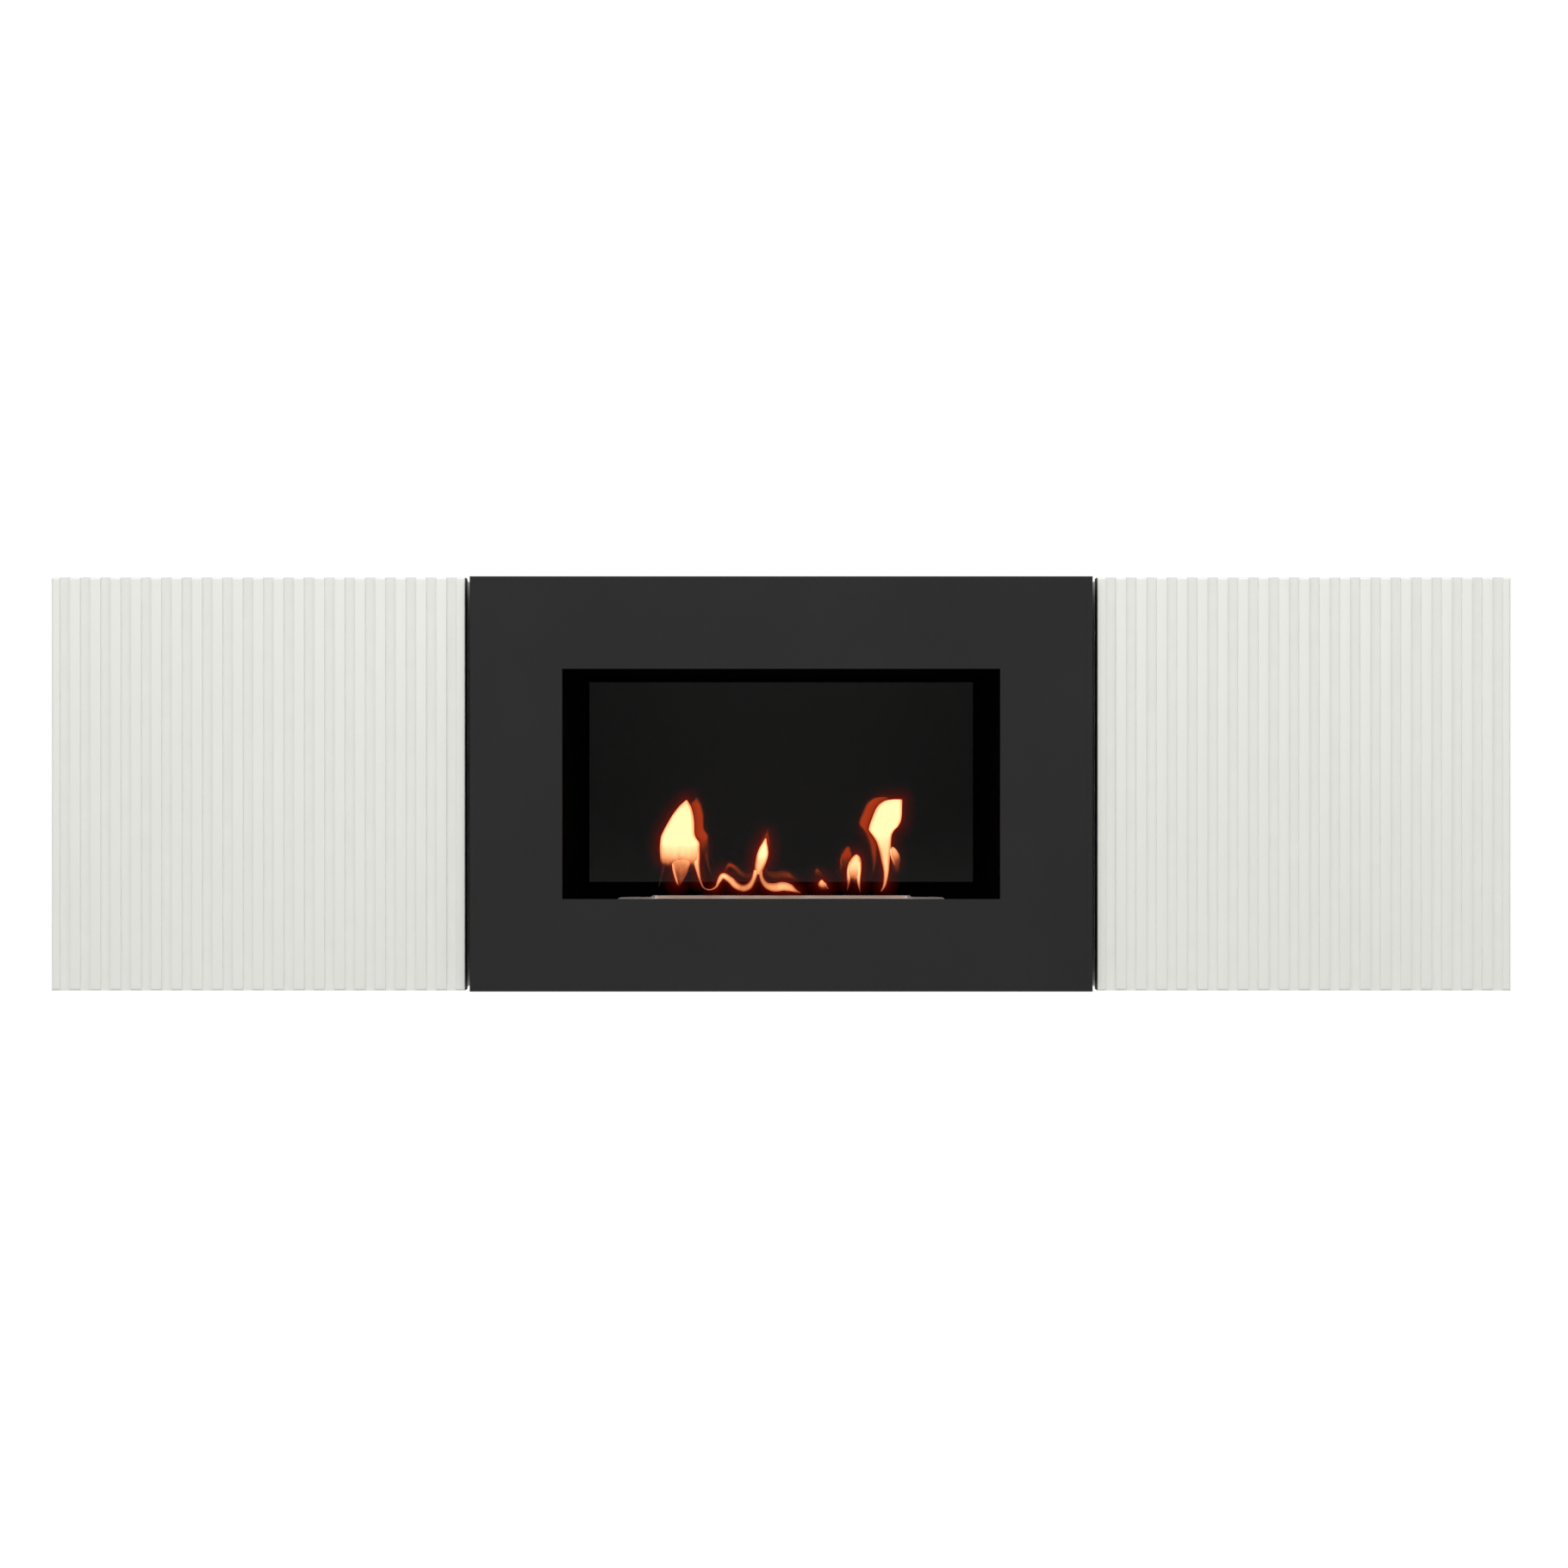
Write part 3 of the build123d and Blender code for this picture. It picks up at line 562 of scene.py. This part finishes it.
DROP = [(42, -99.4, 0.8, 5), (42, -102, 3, 6.9), (42.7, -105.5, 4.4, 4.9), (43.5, -108, 3.8, 2.8),
        (44, -111, 2.5, 0)]
DROP_TIP = [(44.5, -103.5, 2, 6.4), (48.8, -109.3, 0.6, 3)]
ARCH = [(77.8, -73.6, 1.2, 6), (77.6, -76.4, 4, 7.8), (76.5, -82, 6.2, 8.3), (75.6, -87, 7.1, 7.5),
        (75.2, -92, 7, 6), (75.2, -97, 6, 4.1), (75.3, -101, 5, 1.4), (75.3, -104, 4, 0)]
ARCH_LEFT = [(72, -81, 2, 6), (70.6, -89, 2.4, 8), (70, -98, 2, 6), (69.8, -103, 1.4, 3.8),
             (68.5, -110.5, 0.7, 1.6)]
ARCH_RIGHT = [(79.5, -81, 3, 8.6), (80, -89, 2.7, 8.3), (80, -98, 1.9, 6.6), (80.5, -105, 1.3, 4),
              (81.8, -112.5, 0.6, 1.4)]
RIGHT_BODY = [(119.6, -16.6, 5.4, 9), (115.6, -18.4, 9.6, 9), (112, -25, 13, 10), (109, -37, 15.4, 10),
              (106.3, -44, 15.1, 10), (104, -48.2, 13.3, 10), (104.3, -53, 10.4, 9.6), (106, -59.5, 8, 8.6),
              (107.4, -69, 6, 7.6), (108.1, -80, 4.2, 7.6), (108.6, -92, 2.6, 6.7), (107, -104.5, 1.6, 4.8),
              (103.5, -111.5, 1.2, 2.8)]
RIGHT_LOBE = [(115, -65.5, 1, 5), (116, -68, 3, 6.4), (117.5, -73, 4.4, 5.8), (118.5, -78, 4.6, 3.9),
              (119, -83, 4.2, 2.8), (119, -91, 3.2, 1.6), (119, -97, 2.4, 0)]
RIGHT_EDGE = [(113, -68, 1.3, 8), (115, -77, 1.3, 5.8), (118.5, -86, 0.9, 3)]

# Each stroke's points, whether it is level, how deep it is beside its half width, and the share of heat
# that is missing at its edge.
STROKES = {
    "left_body": (LEFT_BODY, True, 0.5, 0.4),
    "left_lobe": (LEFT_LOBE, True, 0.5, 0.3),
    "middle_lobe": (MIDDLE_LOBE, True, 0.8, 0.08),
    "middle_edge": (MIDDLE_EDGE, False, 2.8, 0.35),
    "left_leg": (LEFT_LEG, False, 0.9, 0.4),
    "centre": (CENTRE, True, 0.5, 0.4),
    "centre_tail": (CENTRE_TAIL, False, 0.6, 0.3),
    "drop": (DROP, True, 0.6, 0.3),
    "drop_tip": (DROP_TIP, False, 0.8, 0.3),
    "arch": (ARCH, True, 0.5, 0.35),
    "arch_left": (ARCH_LEFT, True, 1.0, 0.35),
    "arch_right": (ARCH_RIGHT, True, 1.0, 0.35),
    "right_body": (RIGHT_BODY, True, 0.5, 0.4),
    "right_lobe": (RIGHT_LOBE, True, 0.5, 0.2),
    "right_edge": (RIGHT_EDGE, False, 1.0, 0.35),
}


def smooth_path(points, steps=7):
    """Points along a Catmull-Rom curve through the given ones."""
    padded = [points[0], *points, points[-1]]
    found = []
    for a, b, c, d in zip(padded, padded[1:], padded[2:], padded[3:]):
        for i in range(steps):
            t = i / steps
            found.append(tuple(
                0.5 * (2 * q + (r - p) * t + (2 * p - 5 * q + 4 * r - s) * t * t
                       + (3 * q - p - 3 * r + s) * t ** 3)
                for p, q, r, s in zip(a, b, c, d)))
    return found + [tuple(points[-1])]


def stroke_mesh(name, points, level, depth, cooler):
    """One closed, rounded stroke of flame that knows its heat at every point."""
    made = bmesh.new()
    heat_layer = made.verts.layers.float.new("warmth")
    path = smooth_path(points)
    rings = []
    for i, (x, z, half, heat) in enumerate(path):
        before, after = path[max(i - 1, 0)], path[min(i + 1, len(path) - 1)]
        along = Vector((after[0] - before[0], after[1] - before[1])).normalized()
        across = Vector((1.0, 0.0)) if level else Vector((-along.y, along.x))
        half = max(half, 0.3)
        thinning = min(1.0, LEAST_DEPTH + (max(heat, 0.0) / FADING) ** 2)
        deep = (depth * half + min(half / 2, 0.8)) * thinning
        rim = min(RIM, 0.6 * half)
        sway = SWAY * math.sin(z / 17.0 + x / 23.0)
        ring = []
        for k in range(SECTION):
            turn = 2 * math.pi * k / SECTION
            shift = across * half * math.cos(turn)
            corner = made.verts.new(((x + shift.x) * MM, slot_y + (sway + deep * math.sin(turn)) * MM,
                                     (z + shift.y) * MM))
            inside = half * (1.0 - abs(math.cos(turn)))
            edge = max(0.0, min(1.0, (rim - inside) / (0.65 * rim)))
            corner[heat_layer] = max(heat, 0.0) / 10.0 * (1.0 - cooler * edge)
            ring.append(corner)
        rings.append(ring)
    for below, above in zip(rings, rings[1:]):
        for k in range(SECTION):
            made.faces.new((below[k], below[(k + 1) % SECTION], above[(k + 1) % SECTION], above[k]))
    made.faces.new(rings[0])
    made.faces.new(rings[-1])
    bmesh.ops.recalc_face_normals(made, faces=made.faces)
    mesh = bpy.data.meshes.new(name)
    made.to_mesh(mesh)
    made.free()
    mesh.shade_smooth()
    return mesh


def light_up(name, mesh, material):
    """Puts flame on the burner."""
    piece = new_piece(name, mesh, "burner", material)
    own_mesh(piece)
    piece.visible_shadow = False
    piece.visible_diffuse = False


def flame_gas():
    """Burning gas: yellow-white where it is hottest, peach at its sides, then orange, brown and gone."""
    look = Look("flame_gas", Base_Color=(0.0, 0.0, 0.0, 1.0), Roughness=1.0, Specular_IOR_Level=0.0,
                Emission_Strength=6.0)
    heat = look.node("ShaderNodeAttribute", attribute_name="warmth").outputs["Fac"]
    streaks = look.cloud(110.0, 3.0, (1.0, 1.0, 0.25))
    unrest = look.maths("SUBTRACT", 0.5, look.maths("MULTIPLY", heat, 0.36))
    waver = look.maths("MULTIPLY", look.maths("SUBTRACT", streaks, 0.5), unrest)
    warm = look.maths("ADD", heat, waver)
    look.paint("Emission Color", look.ramp(warm, [
        (0.0, (0.004, 0.001, 0.0007)), (0.1, (0.011, 0.003, 0.002)), (0.2, (0.022, 0.0043, 0.0026)),
        (0.3, (0.048, 0.01, 0.004)), (0.4, (0.1, 0.026, 0.01)), (0.5, (0.137, 0.047, 0.0175)),
        (0.6, (0.2, 0.07, 0.028)), (0.7, (0.5, 0.103, 0.046)), (0.8, (0.9, 0.134, 0.06)),
        (0.95, (1.0, 0.168, 0.083))]))
    look.paint("Alpha", look.fade(warm, 0.0, 0.38))
    return look.material


def flame_halo():
    """The dark red glow round the flames, strongest beside them."""
    look = Look("flame_halo", Base_Color=(0.0, 0.0, 0.0, 1.0), Roughness=1.0, Specular_IOR_Level=0.0,
                Emission_Color=(0.16, 0.006, 0.002, 1.0), Emission_Strength=1.0)
    near = look.node("ShaderNodeAttribute", attribute_name="nearness").outputs["Fac"]
    look.paint("Alpha", look.ramp(near, [(0.0, grey(0.0)), (0.5, grey(0.12)), (0.75, grey(0.28)),
                                         (0.88, grey(0.5)), (0.96, grey(0.85)), (1.0, grey(1.0))]))
    return look.material


def halo_mesh(cores):
    """A thin upright sheet through the flames that knows how near they are."""
    places = []
    for core in cores:
        for corner, warmth in zip(core.vertices, core.attributes["warmth"].data):
            if warmth.value > GLOWING:
                places.append(Vector((corner.co.x, 0.0, corner.co.z)))
    tree = KDTree(len(places))
    for i, place in enumerate(places):
        tree.insert(place, i)
    tree.balance()
    made = bmesh.new()
    near_layer = made.verts.layers.float.new("nearness")
    columns, rows = round((HALO_HIGH.x - HALO_LOW.x) / MM), round((HALO_HIGH.z - HALO_LOW.z) / MM)
    grid = []
    for j in range(rows + 1):
        for i in range(columns + 1):
            x, z = HALO_LOW.x + i * MM, HALO_LOW.z + j * MM
            gap = tree.find((x, 0.0, z))[2] / MM
            corner = made.verts.new((x, slot_y, z))
            corner[near_layer] = max(0.0, 1.0 - gap / HALO)
            grid.append(corner)
    for j in range(rows):
        for i in range(columns):
            first = j * (columns + 1) + i
            corners = [grid[first], grid[first + 1], grid[first + columns + 2], grid[first + columns + 1]]
            if any(corner[near_layer] > 0.0 for corner in corners):
                made.faces.new(corners)
    bmesh.ops.delete(made, geom=[corner for corner in grid if not corner.link_faces], context="VERTS")
    mesh = bpy.data.meshes.new("flame_halo")
    made.to_mesh(mesh)
    made.free()
    return mesh


gas = flame_gas()
faint = ("left_lobe", "middle_lobe", "right_lobe")  # no glow round these
strokes = {name: stroke_mesh("flame_" + name, *stroke) for name, stroke in STROKES.items()}
for name, mesh in strokes.items():
    light_up("flame_" + name, mesh, gas)
light_up("flame_halo", halo_mesh([mesh for name, mesh in strokes.items() if name not in faint]), flame_halo())


# ---------------------------------------------------------------- camera, light and floor

WORLD_LEVEL = 0.42  # brightness of the studio's walls
BACKDROP = 1.03  # brightness of the white that the camera sees behind the object
DARK_PATCH = (-0.996, -0.975)  # where the dark patch behind the camera ends, as the Y of a direction
CAMERA_GAP = 2.1  # metres from the camera to the front of the unit
CAMERA_HEIGHT = 0.006
LENS = 50.07  # mm
LENS_SHIFT = (0.0018, -0.0040)  # shares of the picture's width
FLOOR_HEIGHT = -1.02
LAMP_TARGET = (0.0, -0.33, 0.0)


def make_camera():
    """Level with the unit and square to it, far enough away for a calm perspective."""
    data = bpy.data.cameras.new("camera")
    data.sensor_width = 36.0
    data.lens = LENS
    data.shift_x, data.shift_y = LENS_SHIFT
    camera = bpy.data.objects.new("camera", data)
    camera.location = (0.0, cad_low.y - CAMERA_GAP, CAMERA_HEIGHT)
    camera.rotation_euler = (math.radians(90.0), 0.0, 0.0)
    bpy.context.scene.collection.objects.link(camera)
    bpy.context.scene.camera = camera


def make_world():
    """A white background round a dimmer studio that has a dark patch behind the camera."""
    world = bpy.data.worlds.new("studio")
    bpy.context.scene.world = world
    world.use_nodes = True
    tree = world.node_tree
    background = tree.nodes["Background"]
    background.inputs["Color"].default_value = (1.0, 1.0, 1.0, 1.0)
    place = tree.nodes.new("ShaderNodeTexCoord")
    parts = tree.nodes.new("ShaderNodeSeparateXYZ")
    fade = tree.nodes.new("ShaderNodeMapRange")
    fade.interpolation_type = "SMOOTHSTEP"
    fade.inputs["From Min"].default_value, fade.inputs["From Max"].default_value = DARK_PATCH
    fade.inputs["To Min"].default_value = 0.0
    fade.inputs["To Max"].default_value = WORLD_LEVEL
    seen = tree.nodes.new("ShaderNodeMix")
    seen.data_type = "FLOAT"
    seen.inputs[3].default_value = BACKDROP
    rays = tree.nodes.new("ShaderNodeLightPath")
    tree.links.new(place.outputs["Generated"], parts.inputs["Vector"])
    tree.links.new(parts.outputs["Y"], fade.inputs["Value"])
    tree.links.new(rays.outputs["Is Camera Ray"], seen.inputs[0])
    tree.links.new(fade.outputs["Result"], seen.inputs[2])
    tree.links.new(seen.outputs[0], background.inputs["Strength"])


def add_light(name, location, target, size, power):
    """A soft rectangular lamp that points at the target."""
    data = bpy.data.lights.new(name, "AREA")
    data.shape = "RECTANGLE"
    data.size, data.size_y = size
    data.energy = power
    lamp = bpy.data.objects.new(name, data)
    lamp.location = location
    aim = Vector(target) - Vector(location)
    lamp.rotation_euler = aim.to_track_quat("-Z", "Y").to_euler()
    bpy.context.scene.collection.objects.link(lamp)


def make_floor():
    """A pale, finely mottled floor well below the unit."""
    mesh = bpy.data.meshes.new("floor")
    half, front, rear = 3.0, -3.2, 0.25
    outline = [(-half, front), (half, front), (half, rear), (-half, rear)]
    mesh.from_pydata([(x, y, FLOOR_HEIGHT) for x, y in outline], [], [(0, 1, 2, 3)])
    floor = bpy.data.objects.new("floor", mesh)
    bpy.context.scene.collection.objects.link(floor)
    look = Look("floor", Roughness=0.8)
    look.paint("Base Color", look.ramp(look.cloud(3.0), [(0.3, grey(0.8)), (0.7, grey(0.83))]))
    mesh.materials.append(look.material)


make_camera()
make_world()
make_floor()
bpy.context.scene.view_settings.view_transform = "Standard"
add_light("front", (0.0, -4.0, 4.1), LAMP_TARGET, (3.0, 1.2), 140.0)
add_light("key", (-2.8, -3.4, 3.4), LAMP_TARGET, (2.0, 2.0), 32.0)
add_light("fill", (2.8, -3.4, 3.4), LAMP_TARGET, (2.0, 2.0), 24.0)
add_light("top", (0.0, -0.9, 2.4), (0.0, -0.2, 0.0), (3.0, 1.0), 15.0)
